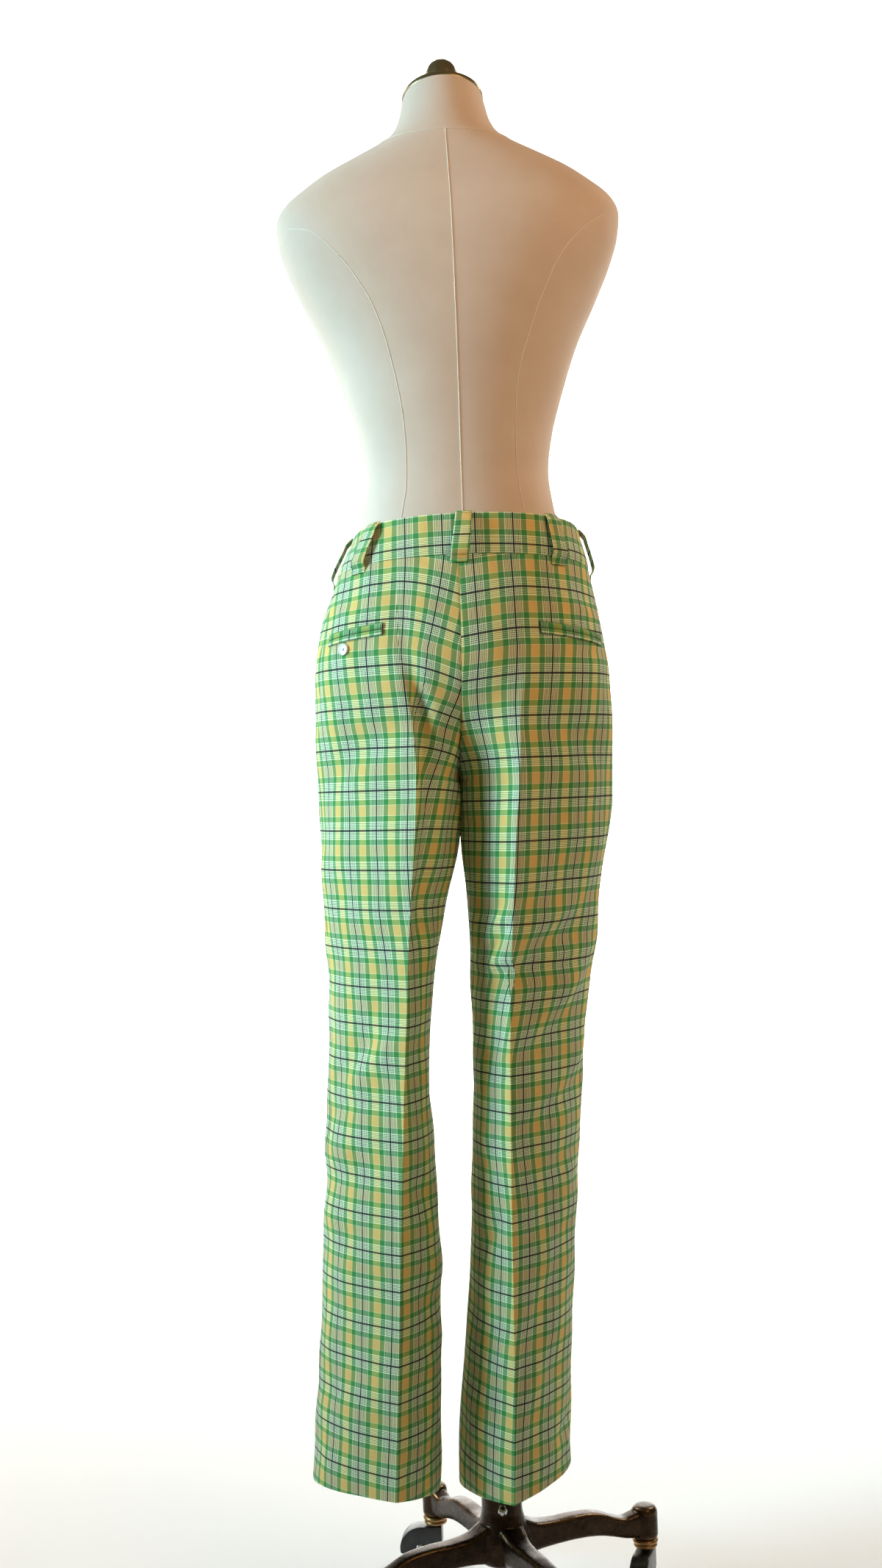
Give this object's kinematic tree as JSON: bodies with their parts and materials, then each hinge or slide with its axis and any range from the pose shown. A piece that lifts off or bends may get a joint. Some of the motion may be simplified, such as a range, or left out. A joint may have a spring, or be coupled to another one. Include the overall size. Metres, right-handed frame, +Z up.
{
  "type": "tailored trousers on a dress form stand",
  "caption": "Full-length straight-leg trousers with pressed creases, belt loops and welt pockets, worn on a limbless dress form whose pole slides in a wheeled four-arm stand.",
  "frame": {"origin": "on the floor, under the middle of the whole outline seen from above; the pole stands 13.65 mm to +X of it", "axes": "+Z up, -Y the wearer's back, +Y the wearer's front, -X the wearer's left"},
  "size_m": [0.3932, 0.361, 1.754],
  "materials": {
    "plaid_cloth": "woven plaid, matt with a slight sheen",
    "band_cloth": "woven plaid, matt with a slight sheen",
    "pearl": "pearl white, glossy",
    "cream_cover": "stretched jersey, matt",
    "cap_bronze": "dull bronze paint",
    "antique_bronze": "dark antique bronze, rubbed lighter on its edges",
    "tube_bronze": "dark antique bronze",
    "rubbed_gold": "gold rubbed through dark paint",
    "chrome": "bright",
    "black_plastic": "black, semi-gloss"
  },
  "bodies": {
    "stand": {"base": "antique_bronze", "outer_tube": "tube_bronze", "caster_ring_1": "rubbed_gold", "caster_ring_2": "rubbed_gold", "caster_ring_3": "rubbed_gold", "caster_ring_4": "rubbed_gold"},
    "clamp": {"clamp_screw": "chrome"},
    "mast": {"pole": "chrome"},
    "form": {"torso": "cream_cover", "neck_cap": "cap_bronze", "neck_knob": "cap_bronze", "back_left": "plaid_cloth", "back_right": "plaid_cloth", "front_left": "plaid_cloth", "front_right": "plaid_cloth", "fly": "plaid_cloth", "waistband_left": "band_cloth", "waistband_right": "band_cloth", "belt_loop_1": "band_cloth", "belt_loop_2": "band_cloth", "belt_loop_3": "band_cloth", "belt_loop_4": "band_cloth", "belt_loop_5": "band_cloth", "belt_loop_6": "band_cloth", "belt_loop_7": "band_cloth", "pocket_left_upper_welt": "band_cloth", "pocket_left_lower_welt": "band_cloth", "pocket_right_upper_welt": "band_cloth", "pocket_right_lower_welt": "band_cloth", "pocket_button": "pearl", "waistband_button": "pearl"},
    "caster_1": {"caster_hood_1": "black_plastic"},
    "caster_2": {"caster_hood_2": "black_plastic"},
    "caster_3": {"caster_hood_3": "black_plastic"},
    "caster_4": {"caster_hood_4": "black_plastic"},
    "wheel_1": {"caster_wheel_1": "black_plastic"},
    "wheel_2": {"caster_wheel_2": "black_plastic"},
    "wheel_3": {"caster_wheel_3": "black_plastic"},
    "wheel_4": {"caster_wheel_4": "black_plastic"}
  },
  "joints": [
    {"name": "form_height", "type": "slide", "parent": "stand", "child": "mast", "axis": [0, 0, 1], "range_m": [-0.03, 0.12]},
    {"name": "form_turn", "type": "hinge", "parent": "mast", "child": "form", "pos_m": [0.01365, 0, 1], "axis": [0, 0, 1], "continuous": true},
    {"name": "clamp_turn", "type": "hinge", "parent": "stand", "child": "clamp", "pos_m": [0.01365, -0.03, 0.141], "axis": [0, -1, 0], "range_deg": [-180, 180]},
    {"name": "caster_1_swivel", "type": "hinge", "parent": "stand", "child": "caster_1", "pos_m": [0.1795, 0.07734, 0.05], "axis": [0, 0, 1], "continuous": true},
    {"name": "caster_2_swivel", "type": "hinge", "parent": "stand", "child": "caster_2", "pos_m": [-0.06369, 0.16585, 0.05], "axis": [0, 0, 1], "continuous": true},
    {"name": "caster_3_swivel", "type": "hinge", "parent": "stand", "child": "caster_3", "pos_m": [-0.1522, -0.07734, 0.05], "axis": [0, 0, 1], "continuous": true},
    {"name": "caster_4_swivel", "type": "hinge", "parent": "stand", "child": "caster_4", "pos_m": [0.09099, -0.16585, 0.05], "axis": [0, 0, 1], "continuous": true},
    {"name": "wheel_1_roll", "type": "hinge", "parent": "caster_1", "child": "wheel_1", "pos_m": [0.17335, 0.06042, 0.02173], "axis": [-0.9397, 0.342, 0], "continuous": true},
    {"name": "wheel_2_roll", "type": "hinge", "parent": "caster_2", "child": "wheel_2", "pos_m": [-0.08162, 0.16742, 0.02173], "axis": [0.0872, 0.9962, 0], "continuous": true},
    {"name": "wheel_3_roll", "type": "hinge", "parent": "caster_3", "child": "wheel_3", "pos_m": [-0.16912, -0.07118, 0.02173], "axis": [0.342, 0.9397, 0], "continuous": true},
    {"name": "wheel_4_roll", "type": "hinge", "parent": "caster_4", "child": "wheel_4", "pos_m": [0.1079, -0.1597, 0.02173], "axis": [0.342, -0.9397, 0], "continuous": true}
  ]
}
